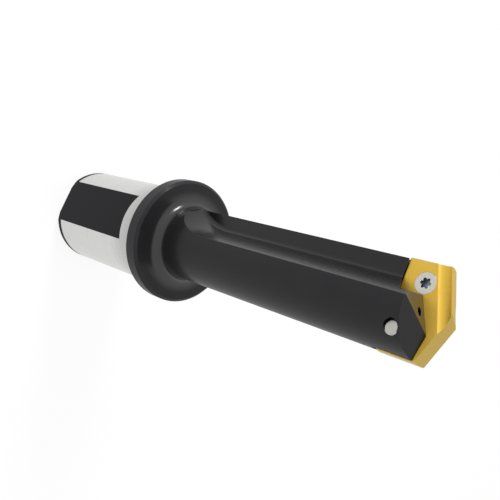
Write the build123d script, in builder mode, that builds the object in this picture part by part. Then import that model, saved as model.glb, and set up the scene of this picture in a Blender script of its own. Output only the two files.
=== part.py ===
from build123d import *
import os
from math import cos, radians, sin, sqrt, tan

# An indexable spade drill standing on its shank end. Z runs along the axis to the point,
# the insert lies in the XZ plane and the flat of the shank looks to -Y. Sizes in millimetres.

# Shank and flange
shank_diameter = 32.0
shank_length = 50.0
shank_chamfer = 1.2
flat_distance = 14.0          # from the axis to the clamping flat
flat_gap = 8.5                # round band between the flat and the flange
flange_diameter = 39.0
flange_thickness = 5.5
flange_chamfer = 0.8

# Fluted body
body_diameter = 22.4
body_length = 77.5            # from the flange to the seat of the insert
neck_radius = 3.0
flute_wall_height = 2.3       # from the plane of the axis to the wall of a flute
flute_floor_offset = 6.2      # from the axis to the corner of wall and floor
flute_floor_lean = 31.0       # degrees that the floor leans away from upright
flute_corner_radius = 1.6
flute_start = 4.0             # from the flange to the end of a flute
flute_runout_radius = 24.0

# Spade insert
insert_diameter = 23.0
insert_thickness = 3.8
margin_length = 10.8
point_angle = 140.0
flank_relief = 12.0
rear_chamfer = 0.5
chip_groove_radius = 2.6
chip_groove_depth = 0.5
chip_groove_land = 0.35

# Seat and jaws
seat_boss_width = 9.0         # middle of the seat, which bears on the back of the insert
seat_relief_depth = 1.0       # slot beside the boss goes this much deeper
pocket_offset = 3.6           # wall beside the open half of the insert, from the axis
pocket_top_offset = 1.7       # the same wall at the outside of the body
ledge_rise = 6.0              # foot of the pocket rises by this much towards the outside
gash_height = 6.4             # foot of the gash, above the seat
nose_offset = 5.0             # highest point of a jaw, from the axis
nose_setback = 0.1            # the same point, behind the corners of the insert
shoulder_setback = 1.2        # outer end of a jaw, behind the corners of the insert
roof_lean = 18.0              # degrees that the top of a jaw leans back towards the outside

# Clamp screws
screw_diameter = 3.5
screw_head_diameter = 5.2
screw_head_angle = 60.0
screw_head_rim = 0.3
screw_offset = 6.3            # from the axis
screw_height = 6.0            # above the seat
screw_end_recess = 0.5
screw_end_chamfer = 0.3
thread_clearance = 0.05
head_clearance = 0.03
drive_diameter = 1.9
drive_lobe_diameter = 0.8
drive_depth = 1.3

# Coolant way
bore_diameter = 5.0
channel_diameter = 1.8
channel_setback = 12.0        # the bore ends this far behind the seat
channel_start_offset = 1.2    # from the axis, where the bore ends
outlet_offset = 0.7           # from the axis, away from the open half
outlet_reach = 2.6            # from the face of the insert
port_diameter = 8.6           # tapped for a pipe plug
port_depth = 12.0
port_chamfer = 0.8

# Places that follow from the sizes
shank_radius = shank_diameter / 2
flange_radius = flange_diameter / 2
flat_end = shank_length - flat_gap
body_radius = body_diameter / 2
insert_radius = insert_diameter / 2
half_insert = insert_thickness / 2
flange_front = shank_length + flange_thickness
seat = flange_front + body_length
corner = seat + margin_length
edge_rise = 1 / tan(radians(point_angle / 2))
tip = corner + insert_radius * edge_rise
screw_z = seat + screw_height
nose = corner - nose_setback
gash = seat + gash_height
gash_slope = (nose - gash) / (nose_offset + pocket_offset)
outlet_z = gash + (pocket_offset + outlet_offset) * gash_slope
beyond = 2 * flange_radius    # reach of a cut that leaves the part


def flute_tool():
    """Space of one flute, in front of the insert's plane on the -X side."""
    lean = radians(flute_floor_lean)
    depth = body_radius - flute_floor_offset
    run = sqrt(flute_runout_radius**2 - (flute_runout_radius - depth) ** 2)
    start = flange_front + flute_start
    with BuildPart() as tool:
        with BuildSketch(Plane.XZ.offset(flute_wall_height)):
            with BuildLine():
                end = Line((-beyond, start), (-body_radius, start))
                runout = RadiusArc(end @ 1, (-flute_floor_offset, start + run), -flute_runout_radius)
                floor = Line(runout @ 1, (-flute_floor_offset, tip + 1))
                Polyline(floor @ 1, (-beyond, tip + 1), end @ 0)
            make_face()
        extrude(amount=beyond, dir=(sin(lean), -cos(lean), 0))
        at_wall = tool.edges().filter_by(lambda e: abs((e @ 0.5).Y + flute_wall_height) < 0.01)
        corner_edges = at_wall.filter_by(lambda e: (e @ 0.5).X > -body_radius and (e @ 0.5).Z < tip)
        fillet(corner_edges, flute_corner_radius)
    return tool.part


def jaw_tool():
    """Space in front of the jaw on the -Y side: pocket, leaning roof and gash."""
    lean = radians(roof_lean)
    shoulder = corner - shoulder_setback
    ahead = tip + beyond
    with BuildPart() as tool:
        # Pocket beside the open half of the insert
        with BuildSketch(Plane.XZ.offset(half_insert)):
            with BuildLine():
                Polyline(
                    (-beyond, seat), (-pocket_offset, seat), (-pocket_offset, ahead), (-beyond, ahead), close=True,
                )
            make_face()
        with BuildSketch(Plane.XZ.offset(body_radius)):
            with BuildLine():
                Polyline(
                    (-beyond, seat + ledge_rise), (-pocket_top_offset, seat + ledge_rise),
                    (-pocket_top_offset, ahead), (-beyond, ahead), close=True,
                )
            make_face()
        loft(ruled=True)
        # Roof of the jaw, which falls from its nose to the shoulder
        with BuildSketch(Plane.XZ.offset(half_insert)):
            with BuildLine():
                Polyline(
                    (-beyond, nose), (nose_offset, nose), (body_radius, shoulder), (beyond, shoulder),
                    (beyond, ahead), (-beyond, ahead), close=True,
                )
            make_face()
        extrude(amount=beyond, dir=(0, -cos(lean), -sin(lean)))
        # Gash from the wall of the pocket up to the nose
        with BuildSketch(Plane.XZ.offset(half_insert)):
            with BuildLine():
                Polyline((-pocket_offset, gash), (nose_offset, nose), (-pocket_offset, nose), close=True)
            make_face()
        extrude(amount=beyond, dir=(0, -1, 0))
    return tool.part


def screw_tool(side, gap, head_gap, length):
    """Plain countersunk screw shape on one side, or with gaps the space of its hole."""
    radius = screw_diameter / 2 + gap
    head = screw_head_diameter / 2 + head_gap
    cone = (head - radius) / tan(radians(screw_head_angle / 2))
    face = Plane(origin=(side * screw_offset, side * half_insert, screw_z), x_dir=(0, 0, 1), z_dir=(-side, 0, 0))
    with BuildPart() as tool:
        with BuildSketch(face):
            with BuildLine():
                Polyline(
                    (0, 0), (head, 0), (head, -screw_head_rim), (radius, -screw_head_rim - cone),
                    (radius, -length), (0, -length), close=True,
                )
            make_face()
        revolve(axis=Axis((side * screw_offset, 0, screw_z), (0, 1, 0)))
    return tool.part


def channel_tool(side):
    """Slanting coolant channel from the end of the bore to its outlet in one gash."""
    start = Vector(0, side * channel_start_offset, seat - channel_setback)
    outlet = Vector(-side * outlet_offset, side * (half_insert + outlet_reach), outlet_z)
    way = outlet - start
    overrun = way.normalized() * channel_diameter
    with BuildPart() as tool:
        with BuildSketch(Plane(origin=start - overrun, z_dir=way)):
            Circle(channel_diameter / 2)
        extrude(amount=way.length + 3 * channel_diameter)
    return tool.part


# Flutes, jaws, screw holes and coolant channels, each with its copy half a turn round
half_turn = Rotation(0, 0, 180)
flute = flute_tool()
jaw_front = jaw_tool()
screw_hole = screw_tool(-1, thread_clearance, head_clearance, body_diameter)
channel = channel_tool(-1)

with BuildPart() as drill_body:
    with BuildSketch(Plane.left):
        with BuildLine():
            shank = Polyline(
                (0, 0), (shank_radius - shank_chamfer, 0), (shank_radius, shank_chamfer),
                (shank_radius, shank_length), (flange_radius - flange_chamfer, shank_length),
                (flange_radius, shank_length + flange_chamfer), (flange_radius, flange_front - flange_chamfer),
                (flange_radius - flange_chamfer, flange_front), (body_radius + neck_radius, flange_front),
            )
            neck = RadiusArc(shank @ 1, (body_radius, flange_front + neck_radius), neck_radius)
            Polyline(neck @ 1, (body_radius, corner), (0, corner), (0, 0))
        make_face()
    revolve(axis=Axis.Z)
    # Clamping flat, open to the end of the shank
    with BuildSketch(Plane.XZ.offset(flat_distance)):
        with Locations((0, flat_end / 2)):
            Rectangle(shank_diameter, flat_end)
    extrude(amount=shank_radius, mode=Mode.SUBTRACT)
    # Two flutes
    add(flute, mode=Mode.SUBTRACT)
    add(half_turn * flute, mode=Mode.SUBTRACT)
    # Slot for the insert, deeper beside the boss
    with BuildSketch(Plane.XY.offset(seat)):
        Rectangle(beyond, insert_thickness)
    extrude(amount=beyond, mode=Mode.SUBTRACT)
    with BuildSketch(Plane.XY.offset(seat - seat_relief_depth)):
        Rectangle(beyond, insert_thickness)
        Rectangle(seat_boss_width, insert_thickness, mode=Mode.SUBTRACT)
    extrude(amount=seat_relief_depth, mode=Mode.SUBTRACT)
    # Fronts of the two jaws
    add(jaw_front, mode=Mode.SUBTRACT)
    add(half_turn * jaw_front, mode=Mode.SUBTRACT)
    # Holes of the clamp screws, through both jaws
    add(screw_hole, mode=Mode.SUBTRACT)
    add(half_turn * screw_hole, mode=Mode.SUBTRACT)
    # Coolant way: tapped port, bore and two channels
    with BuildSketch(Plane.XY):
        Circle(bore_diameter / 2)
    extrude(amount=seat - channel_setback, mode=Mode.SUBTRACT)
    with BuildSketch(Plane.XY):
        Circle(port_diameter / 2)
    extrude(amount=port_depth, mode=Mode.SUBTRACT)
    with BuildSketch(Plane.XY):
        Circle(port_diameter / 2 + port_chamfer)
    with BuildSketch(Plane.XY.offset(port_chamfer)):
        Circle(port_diameter / 2)
    loft(mode=Mode.SUBTRACT)
    add(channel, mode=Mode.SUBTRACT)
    add(half_turn * channel, mode=Mode.SUBTRACT)
drill_body.part.label = "drill_body"


# Spade insert: both cutting edges lie in its faces, the flanks fall away behind them
edge_length = insert_radius / sin(radians(point_angle / 2))
chip_groove_half = sqrt(chip_groove_radius**2 - (chip_groove_radius - chip_groove_depth) ** 2)


def flank_plane(side):
    """Plane of the flank whose cutting edge is on the insert's face at this side."""
    edge = Vector(side * sin(radians(point_angle / 2)), 0, -cos(radians(point_angle / 2)))
    back = Vector(0, -side, -tan(radians(flank_relief)))
    return Plane(origin=(0, side * half_insert, tip), x_dir=edge, z_dir=back.cross(edge))


def chip_groove_tool():
    """Round groove behind the cutting edge on the face at -Y."""
    along = Vector(-sin(radians(point_angle / 2)), 0, -cos(radians(point_angle / 2)))
    behind = Vector(cos(radians(point_angle / 2)), 0, -sin(radians(point_angle / 2)))
    height = chip_groove_radius - chip_groove_depth
    middle = Vector(0, -half_insert - height, tip) + behind * (chip_groove_land + chip_groove_half)
    with BuildPart() as tool:
        with BuildSketch(Plane(origin=middle - along * edge_length, z_dir=along)):
            Circle(chip_groove_radius)
        extrude(amount=3 * edge_length)
    return tool.part


chip_groove = chip_groove_tool()

with BuildPart() as spade_insert:
    with BuildSketch(Plane.XY.offset(seat)):
        Circle(insert_radius)
        Rectangle(insert_diameter, insert_thickness, mode=Mode.INTERSECT)
    extrude(amount=tip - seat)
    split(bisect_by=flank_plane(-1), keep=Keep.BOTTOM)
    split(bisect_by=flank_plane(1), keep=Keep.BOTTOM)
    rear_edges = spade_insert.faces().sort_by(Axis.Z)[0].edges()
    chamfer(rear_edges, rear_chamfer)
    add(chip_groove, mode=Mode.SUBTRACT)
    add(half_turn * chip_groove, mode=Mode.SUBTRACT)
    add(screw_hole, mode=Mode.SUBTRACT)
    add(half_turn * screw_hole, mode=Mode.SUBTRACT)
spade_insert.part.label = "spade_insert"


def clamp_screw(side):
    """Countersunk screw with a six-lobe recess, its head flush with the insert."""
    length = half_insert + sqrt(body_radius**2 - screw_offset**2) - screw_end_recess
    blank = screw_tool(side, 0, 0, length)
    head_face = Plane(origin=(side * screw_offset, side * half_insert, screw_z), z_dir=(0, side, 0))
    with BuildPart() as screw:
        add(blank)
        end = screw.faces().filter_by(Plane.XZ).sort_by(Axis.Y)[0 if side > 0 else -1]
        chamfer(end.edges(), screw_end_chamfer)
        with BuildSketch(head_face):
            Circle(drive_diameter / 2)
            with PolarLocations(drive_diameter / 2, 6):
                Circle(drive_lobe_diameter / 2)
        extrude(amount=-drive_depth, mode=Mode.SUBTRACT)
    return screw.part


front_clamp_screw = clamp_screw(-1)
front_clamp_screw.label = "front_clamp_screw"
rear_clamp_screw = clamp_screw(1)
rear_clamp_screw.label = "rear_clamp_screw"

if __name__ == "__main__":
    os.makedirs("parts", exist_ok=True)
    export_step(drill_body.part, "parts/drill_body.step")
    export_step(spade_insert.part, "parts/spade_insert.step")
    export_step(front_clamp_screw, "parts/front_clamp_screw.step")
    export_step(rear_clamp_screw, "parts/rear_clamp_screw.step")
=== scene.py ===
import math
import bpy
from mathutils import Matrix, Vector


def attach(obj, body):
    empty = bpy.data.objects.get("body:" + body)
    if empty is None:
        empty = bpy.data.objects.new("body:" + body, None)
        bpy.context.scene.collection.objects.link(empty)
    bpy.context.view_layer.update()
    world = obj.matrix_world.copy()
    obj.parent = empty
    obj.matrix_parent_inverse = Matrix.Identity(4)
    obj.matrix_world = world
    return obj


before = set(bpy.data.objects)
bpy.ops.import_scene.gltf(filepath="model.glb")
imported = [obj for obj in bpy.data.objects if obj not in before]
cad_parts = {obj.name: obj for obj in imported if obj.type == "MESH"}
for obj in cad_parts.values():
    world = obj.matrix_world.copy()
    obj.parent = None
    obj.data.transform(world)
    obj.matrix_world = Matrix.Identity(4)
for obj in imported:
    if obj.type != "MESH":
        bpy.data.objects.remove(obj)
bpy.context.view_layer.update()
millimetre = 0.001
bevelSamples = 6  # rays that soften an edge at one point

print("camera")
camera = {
    "position": (21.4, -125.8, 207.0),  # millimetres, as all sizes here
    "lookAt": (-3.0, -0.6, 83.2),
    "roll": 105.7,  # degrees: the drill stands, the photograph shows it lying
    "lens": 44.8,
    "sensorWidth": 36,
    "nearest": 10,
    "farthest": 20000,
}


def placeCamera(settings):
    lens = bpy.data.cameras.new("photoCamera")
    lens.lens = settings["lens"]
    lens.sensor_width = settings["sensorWidth"]
    lens.clip_start = settings["nearest"] * millimetre
    lens.clip_end = settings["farthest"] * millimetre
    mounted = bpy.data.objects.new("photoCamera", lens)
    bpy.context.collection.objects.link(mounted)
    position = Vector(settings["position"]) * millimetre
    forward = Vector(settings["lookAt"]) * millimetre - position
    mounted.location = position
    mounted.rotation_euler = forward.to_track_quat("-Z", "Y").to_euler()
    mounted.rotation_euler.rotate_axis("Z", math.radians(settings["roll"]))
    bpy.context.scene.camera = mounted


placeCamera(camera)


def linear(hexColour):
    # sRGB hex to linear light
    values = [int(hexColour[i:i + 2], 16) / 255 for i in (1, 3, 5)]
    return tuple(v / 12.92 if v <= 0.04045 else ((v + 0.055) / 1.055) ** 2.4 for v in values) + (1.0,)


def addNode(tree, kind, inputs=None, **settings):
    node = tree.nodes.new(kind)
    for name, value in settings.items():
        setattr(node, name, value)
    for name, value in (inputs or {}).items():
        if isinstance(value, bpy.types.NodeSocket):
            tree.links.new(value, node.inputs[name])
        else:
            node.inputs[name].default_value = value
    return node


def newMaterial(name):
    material = bpy.data.materials.new(name)
    material.use_nodes = True
    tree = material.node_tree
    tree.nodes.clear()
    output = addNode(tree, "ShaderNodeOutputMaterial")
    return material, tree, output


def between(tree, value, low, high):
    # 1 where a coordinate in metres lies between two sizes in millimetres
    above = addNode(tree, "ShaderNodeMath", {0: value, 1: low * millimetre}, operation="GREATER_THAN")
    below = addNode(tree, "ShaderNodeMath", {0: value, 1: high * millimetre}, operation="LESS_THAN")
    both = addNode(tree, "ShaderNodeMath", {0: above.outputs[0], 1: below.outputs[0]}, operation="MULTIPLY")
    return both.outputs[0]


def axisRadius(tree, place):
    # distance from the drill's axis
    level = addNode(tree, "ShaderNodeVectorMath", {0: place, 1: (1, 1, 0)}, operation="MULTIPLY")
    return addNode(tree, "ShaderNodeVectorMath", {0: level.outputs[0]}, operation="LENGTH").outputs["Value"]


def streaks(tree, place, *grain):
    # noise drawn out to a grain given in millimetres for x, y and z
    scaled = addNode(tree, "ShaderNodeVectorMath", {
        0: place, 1: [1 / (millimetre * size) for size in grain]}, operation="MULTIPLY")
    return addNode(tree, "ShaderNodeTexNoise", {
        "Vector": scaled.outputs[0], "Scale": 1.0, "Detail": 3.0, "Roughness": 0.6}).outputs["Fac"]


def dress(nodeName, material):
    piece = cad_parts[nodeName]
    piece.data.materials.clear()
    piece.data.materials.append(material)


print("holder steel")
holder = {
    "oxide": "#262628",
    "oxideThin": "#323234",  # where the black is thinner
    "oxideRoughness": (0.6, 0.75),  # from and to, as in every pair here
    "cloudSize": 9.0,
    "rubbed": "#505053",  # edges that handling has rubbed
    "rubStart": 0.985,  # cosine between the plain and the rounded normal where the rubbing starts
    "rubFull": 0.88,  # and where it is full
    "edgeRadius": 0.18,
    "turnPitch": 0.5,  # real turning marks are about 0.1, drawn coarser so that they show
    "millLength": 30,  # a cutter mark runs so far along the flute
    "reliefStrength": 0.12,
    "reliefDepth": 0.04,
    "fluteShadedOxide": "#1a1a1c",  # in the milled flutes, darker: painted shade in these hollows
    "fluteRadii": (0, 11.1),  # all that lies inside the outer wall of 11.2
    "oilFilm": 0.28,  # share of the surface that the sealing oil makes glossy
    "filmFade": 0.4,  # the film starts over this length above the shank
    "fluteOil": 0.6,  # the share in the flutes
    "oilPool": 1.0,  # the share in the corner between flange and body, where the oil gathers
    "oilCorner": (11.2, 0, 55.5),  # radius and height of that corner
    "poolFull": 3,  # the pool is full so far from the corner
    "poolEnd": 6,  # and ends here
    "oilRoughness": 0.19,
    "ground": "#d8d8d7",
    "groundDark": "#c4c4c3",
    "groundRoughness": (0.22, 0.36),
    "groundFlangeReflection": "#8a8a89",  # painted dark reflection of the black flange on the ground steel under it
    "flangeReflectionBand": 14,
    "flangeReflectionShare": 0.7,
    "shankFoot": 3.1,  # the ground band on the shank, from here
    "shankHead": 49.8,  # to here
    "shankRadii": (15.9, 16.9),
    "grindPitch": 0.5,  # real grinding lines are under 0.05, drawn coarser so that they show
    "grindLength": 40,  # a line runs so far round the shank before it fades
    "gash": "#52504c",  # cut beside the insert, lighter and brownish: painted reflection of the gold insert next to it
    "gashRoughness": 0.5,
    "gashLean": 0.15,  # its normal points at least so much to the side
    "gashRise": 0.5,  # and so much upward
    "headFoot": 138.6,  # the gashes start here
    "top": 150,  # above all of the drill
}


def holderSteel(settings):
    # alloy steel, turned and milled, then black oxide: a deep black with a faint oily metal gleam.
    # The shank is ground after blackening and shows bare silver steel with fine rings.
    material, tree, output = newMaterial("blackOxideSteelWithGroundShank")
    place = addNode(tree, "ShaderNodeTexCoord").outputs["Object"]
    facing = addNode(tree, "ShaderNodeTexCoord").outputs["Normal"]
    axes = addNode(tree, "ShaderNodeSeparateXYZ", {"Vector": place})
    normals = addNode(tree, "ShaderNodeSeparateXYZ", {"Vector": facing})
    radius = axisRadius(tree, place)

    onShank = between(tree, axes.outputs["Z"], settings["shankFoot"], settings["shankHead"])
    onRadius = between(tree, radius, *settings["shankRadii"])
    ground = addNode(tree, "ShaderNodeMath", {0: onShank, 1: onRadius}, operation="MULTIPLY").outputs[0]

    # the sloping cut in front of each jaw looks up and towards the open half of the insert
    side = addNode(tree, "ShaderNodeMath", {0: axes.outputs["Y"]}, operation="SIGN")
    slope = addNode(tree, "ShaderNodeMath", {
        0: normals.outputs["X"], 1: side.outputs[0]}, operation="MULTIPLY")
    sloping = addNode(tree, "ShaderNodeMath", {
        0: slope.outputs[0], 1: settings["gashLean"]}, operation="GREATER_THAN")
    upward = addNode(tree, "ShaderNodeMath", {
        0: normals.outputs["Z"], 1: settings["gashRise"]}, operation="GREATER_THAN")
    inHead = between(tree, axes.outputs["Z"], settings["headFoot"], settings["top"])
    tilted = addNode(tree, "ShaderNodeMath", {
        0: sloping.outputs[0], 1: upward.outputs[0]}, operation="MULTIPLY")
    gash = addNode(tree, "ShaderNodeMath", {0: tilted.outputs[0], 1: inHead}, operation="MULTIPLY").outputs[0]

    # colour: slow clouds in the oxide, painted shade in the flutes, fine rings in the ground steel, painted
    # reflection of the flange beside it
    clouds = addNode(tree, "ShaderNodeTexNoise", {
        "Vector": place, "Scale": 1 / (settings["cloudSize"] * millimetre), "Detail": 4.0}).outputs["Fac"]
    rings = streaks(tree, place, settings["grindLength"], settings["grindLength"], settings["grindPitch"])
    outerOxide = addNode(tree, "ShaderNodeMix", {
        "Factor": clouds, 6: linear(settings["oxide"]), 7: linear(settings["oxideThin"])}, data_type="RGBA")
    inside = between(tree, radius, *settings["fluteRadii"])
    pastShank = between(tree, axes.outputs["Z"], settings["shankHead"], settings["top"])
    inFlute = addNode(tree, "ShaderNodeMath", {0: inside, 1: pastShank}, operation="MULTIPLY").outputs[0]
    # painted shade: the flutes get a darker oxide colour than the outside
    oxide = addNode(tree, "ShaderNodeMix", {
        "Factor": inFlute, 6: outerOxide.outputs[2], 7: linear(settings["fluteShadedOxide"])}, data_type="RGBA")
    ringed = addNode(tree, "ShaderNodeMix", {
        "Factor": rings, 6: linear(settings["groundDark"]), 7: linear(settings["ground"])}, data_type="RGBA")
    # painted reflection: the ground steel darkens towards the flange, as if it mirrored the black flange
    flangeReflecting = addNode(tree, "ShaderNodeMapRange", {
        "Value": axes.outputs["Z"], "From Min": (settings["shankHead"] - settings["flangeReflectionBand"]) * millimetre,
        "From Max": settings["shankHead"] * millimetre, "To Min": 0.0, "To Max": settings["flangeReflectionShare"]})
    bare = addNode(tree, "ShaderNodeMix", {
        "Factor": flangeReflecting.outputs[0], 6: ringed.outputs[2],
        7: linear(settings["groundFlangeReflection"])}, data_type="RGBA")

    # rubbed edges: where the rounded normal leaves the plain one
    rounded = addNode(tree, "ShaderNodeBevel", {
        "Radius": settings["edgeRadius"] * millimetre}, samples=bevelSamples)
    plain = addNode(tree, "ShaderNodeNewGeometry").outputs["Normal"]
    same = addNode(tree, "ShaderNodeVectorMath", {0: rounded.outputs[0], 1: plain}, operation="DOT_PRODUCT")
    edge = addNode(tree, "ShaderNodeMapRange", {
        "Value": same.outputs["Value"], "From Min": settings["rubStart"], "From Max": settings["rubFull"],
        "To Min": 0.0, "To Max": 1.0})
    patchy = addNode(tree, "ShaderNodeMath", {0: edge.outputs[0], 1: clouds}, operation="MULTIPLY")
    worn = addNode(tree, "ShaderNodeMix", {
        "Factor": patchy.outputs[0], 6: oxide.outputs[2], 7: linear(settings["rubbed"])}, data_type="RGBA")
    # painted reflection: the cut beside the insert gets a lighter brownish colour, standing in for the gold
    # insert mirrored in it
    withGash = addNode(tree, "ShaderNodeMix", {
        "Factor": gash, 6: worn.outputs[2], 7: linear(settings["gash"])}, data_type="RGBA")
    colour = addNode(tree, "ShaderNodeMix", {
        "Factor": ground, 6: withGash.outputs[2], 7: bare.outputs[2]}, data_type="RGBA")

    # roughness: the oxide varies with its clouds, the ground steel with its rings
    oxideRoughness = addNode(tree, "ShaderNodeMapRange", {
        "Value": clouds, "To Min": settings["oxideRoughness"][0], "To Max": settings["oxideRoughness"][1]})
    gashRoughness = addNode(tree, "ShaderNodeMix", {
        "Factor": gash, 2: oxideRoughness.outputs[0], 3: settings["gashRoughness"]})
    groundRoughness = addNode(tree, "ShaderNodeMapRange", {
        "Value": rings, "To Min": settings["groundRoughness"][0], "To Max": settings["groundRoughness"][1]})
    roughness = addNode(tree, "ShaderNodeMix", {
        "Factor": ground, 2: gashRoughness.outputs[0], 3: groundRoughness.outputs[0]})

    # relief: turning rings outside, cutter marks along the flutes, grinding rings on the shank
    polar = addNode(tree, "ShaderNodeCombineXYZ", {"X": radius, "Y": 0.0, "Z": axes.outputs["Z"]}).outputs[0]
    turned = streaks(tree, polar, settings["turnPitch"], settings["turnPitch"], settings["turnPitch"])
    milled = streaks(tree, place, settings["turnPitch"], settings["turnPitch"], settings["millLength"])
    cut = addNode(tree, "ShaderNodeMix", {"Factor": inFlute, 2: turned, 3: milled})
    relief = addNode(tree, "ShaderNodeMix", {"Factor": ground, 2: cut.outputs[0], 3: rings})
    bump = addNode(tree, "ShaderNodeBump", {
        "Height": relief.outputs[0], "Strength": settings["reliefStrength"],
        "Distance": settings["reliefDepth"] * millimetre, "Normal": rounded.outputs[0]})

    # oil: none on the shank, a thin film above it, more in the flutes and in the corner at the flange
    oil = addNode(tree, "ShaderNodeMapRange", {
        "Value": axes.outputs["Z"], "From Min": settings["shankHead"] * millimetre,
        "From Max": (settings["shankHead"] + settings["filmFade"]) * millimetre,
        "To Min": 0.0, "To Max": settings["oilFilm"]})
    fromCorner = addNode(tree, "ShaderNodeVectorMath", {
        0: polar, 1: [v * millimetre for v in settings["oilCorner"]]}, operation="DISTANCE")
    pool = addNode(tree, "ShaderNodeMapRange", {
        "Value": fromCorner.outputs["Value"], "From Min": settings["poolFull"] * millimetre,
        "From Max": settings["poolEnd"] * millimetre, "To Min": settings["oilPool"], "To Max": 0.0})
    fluteOil = addNode(tree, "ShaderNodeMath", {0: inFlute, 1: settings["fluteOil"]}, operation="MULTIPLY")
    deeper = addNode(tree, "ShaderNodeMath", {
        0: pool.outputs[0], 1: fluteOil.outputs[0]}, operation="MAXIMUM")
    gloss = addNode(tree, "ShaderNodeMath", {0: oil.outputs[0], 1: deeper.outputs[0]}, operation="MAXIMUM")

    shader = addNode(tree, "ShaderNodeBsdfPrincipled", {
        "Base Color": colour.outputs[2], "Metallic": 1.0, "Roughness": roughness.outputs[0],
        "Normal": bump.outputs[0], "Coat Weight": gloss.outputs[0],
        "Coat Roughness": settings["oilRoughness"], "Coat Normal": rounded.outputs[0]})
    tree.links.new(shader.outputs[0], output.inputs["Surface"])
    return material


holderFinish = holderSteel(holder)
dress("drill_body", holderFinish)

print("insert")
insert = {
    "coating": "#dfbf56",
    "coatingDeep": "#d6af46",  # where the coating is thicker
    "cloudSize": 4.0,
    "roughness": (0.53, 0.68),
    "flank": "#c4aa60",  # relief faces behind the edges, painted darker and greyer as shade
    "flankRise": 0.5,  # its normal points at least so much upward
    "margin": "#cec296",  # cylindrical land that guides in the hole
    "marginRadii": (11.38, 12.38),
    "grindPitch": 0.35,  # real wheel marks are about 0.02, drawn coarser so that they show
    "grindWidth": 4,
    "grindLength": 6,  # a wheel mark runs so far along the insert
    "reliefStrength": 0.12,
    "reliefDepth": 0.02,
    "edgeRadius": 0.06,
}


def coatedCarbide(settings):
    # cemented carbide, pressed and ground, with a golden nitride coating: a warm satin metal
    # with fine wheel marks, painted shade (darker and greyer) on the relieved flanks and paler on the guiding
    # margins
    material, tree, output = newMaterial("nitrideCoatedGroundCarbide")
    place = addNode(tree, "ShaderNodeTexCoord").outputs["Object"]
    facing = addNode(tree, "ShaderNodeTexCoord").outputs["Normal"]
    normals = addNode(tree, "ShaderNodeSeparateXYZ", {"Vector": facing})
    radius = axisRadius(tree, place)

    clouds = addNode(tree, "ShaderNodeTexNoise", {
        "Vector": place, "Scale": 1 / (settings["cloudSize"] * millimetre), "Detail": 3.0}).outputs["Fac"]
    wheel = streaks(tree, place, settings["grindPitch"], settings["grindWidth"], settings["grindLength"])
    gold = addNode(tree, "ShaderNodeMix", {
        "Factor": clouds, 6: linear(settings["coatingDeep"]),
        7: linear(settings["coating"])}, data_type="RGBA")
    upward = addNode(tree, "ShaderNodeMath", {
        0: normals.outputs["Z"], 1: settings["flankRise"]}, operation="GREATER_THAN")
    # painted shade: the upward-facing flanks are coloured darker and greyer
    withFlank = addNode(tree, "ShaderNodeMix", {
        "Factor": upward.outputs[0], 6: gold.outputs[2], 7: linear(settings["flank"])}, data_type="RGBA")
    onMargin = between(tree, radius, *settings["marginRadii"])
    colour = addNode(tree, "ShaderNodeMix", {
        "Factor": onMargin, 6: withFlank.outputs[2], 7: linear(settings["margin"])}, data_type="RGBA")
    roughness = addNode(tree, "ShaderNodeMapRange", {
        "Value": wheel, "To Min": settings["roughness"][0], "To Max": settings["roughness"][1]})
    rounded = addNode(tree, "ShaderNodeBevel", {
        "Radius": settings["edgeRadius"] * millimetre}, samples=bevelSamples)
    bump = addNode(tree, "ShaderNodeBump", {
        "Height": wheel, "Strength": settings["reliefStrength"],
        "Distance": settings["reliefDepth"] * millimetre, "Normal": rounded.outputs[0]})
    shader = addNode(tree, "ShaderNodeBsdfPrincipled", {
        "Base Color": colour.outputs[2], "Metallic": 1.0, "Roughness": roughness.outputs[0],
        "Normal": bump.outputs[0]})
    tree.links.new(shader.outputs[0], output.inputs["Surface"])
    return material


dress("spade_insert", coatedCarbide(insert))

print("screws")
screw = {
    "steel": "#d2cfc4",
    "steelDark": "#b9b7ae",
    "roughness": (0.24, 0.4),
    "axis": (6.3, 0, 139.0),  # a point on the axis of one screw, the other is half a turn round the drill
    "recess": "#76818c",  # painted shade in the six-lobe recess
    "recessRadii": (-1, 1.45),  # -1 lies below every radius and height, so that 0 counts
    "recessHeights": (-1, 1.86),  # from the insert's middle to just under the face of the head
    "end": "#b6b4ae",  # plain turned end on the far side
    "endHeights": (4.9, 30),
    "ringPitch": 0.3,  # real turning rings are about 0.05, drawn coarser so that they show
    "reliefStrength": 0.12,
    "reliefDepth": 0.02,
    "edgeRadius": 0.08,
}


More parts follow.
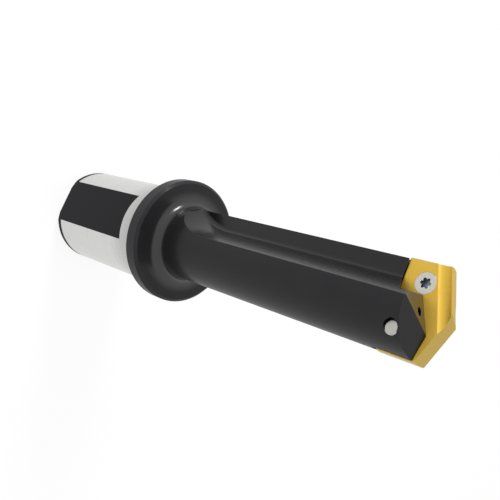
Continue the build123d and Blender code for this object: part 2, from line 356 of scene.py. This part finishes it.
def screwSteel(settings):
    # stainless screw, turned: a soft bright metal with rings round its axis and a recess darkened with
    # painted shade
    material, tree, output = newMaterial("turnedStainlessScrew")
    place = addNode(tree, "ShaderNodeTexCoord").outputs["Object"]
    folded = addNode(tree, "ShaderNodeVectorMath", {0: place}, operation="ABSOLUTE")  # both screws at once
    fromAxis = addNode(tree, "ShaderNodeVectorMath", {
        0: folded.outputs[0], 1: [v * millimetre for v in settings["axis"]]}, operation="SUBTRACT")
    level = addNode(tree, "ShaderNodeVectorMath", {
        0: fromAxis.outputs[0], 1: (1, 0, 1)}, operation="MULTIPLY")
    radius = addNode(tree, "ShaderNodeVectorMath", {0: level.outputs[0]}, operation="LENGTH").outputs["Value"]
    height = addNode(tree, "ShaderNodeSeparateXYZ", {"Vector": folded.outputs[0]}).outputs["Y"]

    # painted shade: the recess in the head is coloured dark blue-grey
    nearAxis = between(tree, radius, *settings["recessRadii"])
    underFace = between(tree, height, *settings["recessHeights"])
    recess = addNode(tree, "ShaderNodeMath", {0: nearAxis, 1: underFace}, operation="MULTIPLY").outputs[0]
    polar = addNode(tree, "ShaderNodeCombineXYZ", {"X": radius, "Y": 0.0, "Z": 0.0}).outputs[0]
    rings = streaks(tree, polar, settings["ringPitch"], settings["ringPitch"], settings["ringPitch"])
    steel = addNode(tree, "ShaderNodeMix", {
        "Factor": rings, 6: linear(settings["steelDark"]), 7: linear(settings["steel"])}, data_type="RGBA")
    farEnd = between(tree, height, *settings["endHeights"])
    withEnd = addNode(tree, "ShaderNodeMix", {
        "Factor": farEnd, 6: steel.outputs[2], 7: linear(settings["end"])}, data_type="RGBA")
    # painted shade laid over the recess
    colour = addNode(tree, "ShaderNodeMix", {
        "Factor": recess, 6: withEnd.outputs[2], 7: linear(settings["recess"])}, data_type="RGBA")
    roughness = addNode(tree, "ShaderNodeMapRange", {
        "Value": rings, "To Min": settings["roughness"][0], "To Max": settings["roughness"][1]})
    rounded = addNode(tree, "ShaderNodeBevel", {
        "Radius": settings["edgeRadius"] * millimetre}, samples=bevelSamples)
    bump = addNode(tree, "ShaderNodeBump", {
        "Height": rings, "Strength": settings["reliefStrength"],
        "Distance": settings["reliefDepth"] * millimetre, "Normal": rounded.outputs[0]})
    shader = addNode(tree, "ShaderNodeBsdfPrincipled", {
        "Base Color": colour.outputs[2], "Metallic": 1.0, "Roughness": roughness.outputs[0],
        "Normal": bump.outputs[0]})
    tree.links.new(shader.outputs[0], output.inputs["Surface"])
    return material


screwFinish = screwSteel(screw)
dress("front_clamp_screw", screwFinish)
dress("rear_clamp_screw", screwFinish)

print("coolant port thread")
portThread = {
    "boreRadius": 4.3,
    "sunk": 0.02,  # the foot of the ridge lies so deep in the wall
    "depth": 0.45,  # how far the crests stand into the bore
    "pitch": 0.9,
    "footShare": 0.42,  # half the width of the foot, as a share of the pitch
    "first": 1.4,  # height of the first turn
    "last": 11.4,
    "stepsPerTurn": 48,
    "fadeSteps": 20,  # the ridge runs out over so many steps at both ends
}


def makePortThread(settings):
    # one ridge of triangular section that winds up the wall of the port
    sides = 3
    turns = (settings["last"] - settings["first"]) / settings["pitch"]
    steps = int(turns * settings["stepsPerTurn"])
    half = settings["pitch"] * settings["footShare"]
    foot = settings["boreRadius"] + settings["sunk"]
    points, faces = [], []
    for i in range(steps + 1):
        angle = math.tau * i / settings["stepsPerTurn"]
        height = settings["first"] + settings["pitch"] * i / settings["stepsPerTurn"]
        fade = min(1.0, i / settings["fadeSteps"], (steps - i) / settings["fadeSteps"])
        crest = settings["boreRadius"] - settings["depth"] * fade
        for radius, rise in ((foot, -half), (crest, 0), (foot, half)):
            points.append([millimetre * v for v in (
                radius * math.cos(angle), radius * math.sin(angle), height + rise)])
    for i in range(steps):
        here = sides * i
        after = here + sides
        for j in range(sides):
            k = (j + 1) % sides
            faces.append((here + j, here + k, after + k, after + j))
    end = sides * steps
    faces += [(2, 1, 0), (end, end + 1, end + 2)]
    mesh = bpy.data.meshes.new("coolantPortThread")
    mesh.from_pydata(points, [], faces)
    mesh.materials.append(holderFinish)
    thread = bpy.data.objects.new("coolantPortThread", mesh)
    bpy.context.collection.objects.link(thread)
    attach(thread, "root")


makePortThread(portThread)

print("studio")
studio = {
    "white": "#ffffff",  # of the paper, the light and the backdrop
    "floorRadius": 3000,
    "floorCorners": 48,
    "glowShare": 0.85,  # the rest of the floor shows the shadow
    "worldStrength": 0.9,
}


def seenDirectly(tree, share):
    # the share where the camera, a gloss or a clear material looks at it, and 0 for other rays
    path = addNode(tree, "ShaderNodeLightPath").outputs
    gloss = addNode(tree, "ShaderNodeMath", {
        0: path["Is Camera Ray"], 1: path["Is Glossy Ray"]}, operation="MAXIMUM")
    clear = addNode(tree, "ShaderNodeMath", {
        0: gloss.outputs[0], 1: path["Is Transmission Ray"]}, operation="MAXIMUM")
    return addNode(tree, "ShaderNodeMath", {0: clear.outputs[0], 1: share}, operation="MULTIPLY").outputs[0]


def makeFloor(settings):
    mesh = bpy.data.meshes.new("floor")
    radius = settings["floorRadius"] * millimetre
    count = settings["floorCorners"]
    angles = [math.tau * i / count for i in range(count)]
    mesh.from_pydata([(radius * math.cos(a), radius * math.sin(a), 0) for a in angles], [], [range(count)])
    floor = bpy.data.objects.new("floor", mesh)
    bpy.context.collection.objects.link(floor)
    material, tree, output = newMaterial("whitePaper")
    white = linear(settings["white"])
    paper = addNode(tree, "ShaderNodeBsdfDiffuse", {"Color": white})
    glow = addNode(tree, "ShaderNodeEmission", {"Color": white, "Strength": 1.0})
    mixed = addNode(tree, "ShaderNodeMixShader", {
        "Fac": seenDirectly(tree, settings["glowShare"]), 1: paper.outputs[0], 2: glow.outputs[0]})
    tree.links.new(mixed.outputs[0], output.inputs["Surface"])
    mesh.materials.append(material)


def makeWorld(settings):
    world = bpy.data.worlds.new("studioWorld")
    world.use_nodes = True
    bpy.context.scene.world = world
    tree = world.node_tree
    tree.nodes.clear()
    output = addNode(tree, "ShaderNodeOutputWorld")
    white = linear(settings["white"])
    light = addNode(tree, "ShaderNodeBackground", {"Color": white, "Strength": settings["worldStrength"]})
    seen = addNode(tree, "ShaderNodeBackground", {"Color": white, "Strength": 1.0})
    mixed = addNode(tree, "ShaderNodeMixShader", {
        "Fac": seenDirectly(tree, 1.0), 1: light.outputs[0], 2: seen.outputs[0]})
    tree.links.new(mixed.outputs[0], output.inputs["Surface"])


makeFloor(studio)
makeWorld(studio)

keyPanel = {
    "place": (-450, -150, 330),
    "target": (0, 0, 80),
    "size": 130,
    "power": 1.6,  # low, so that the margins of the insert stay yellow where they mirror it
}


def hangPanel(settings):
    light = bpy.data.lights.new("keyPanel", "AREA")
    light.size = settings["size"] * millimetre
    light.energy = settings["power"]
    panel = bpy.data.objects.new("keyPanel", light)
    bpy.context.collection.objects.link(panel)
    panel.location = Vector(settings["place"]) * millimetre
    aim = Vector(settings["target"]) * millimetre - panel.location
    panel.rotation_euler = aim.to_track_quat("-Z", "Y").to_euler()


hangPanel(keyPanel)

bpy.context.scene.view_settings.view_transform = "Standard"
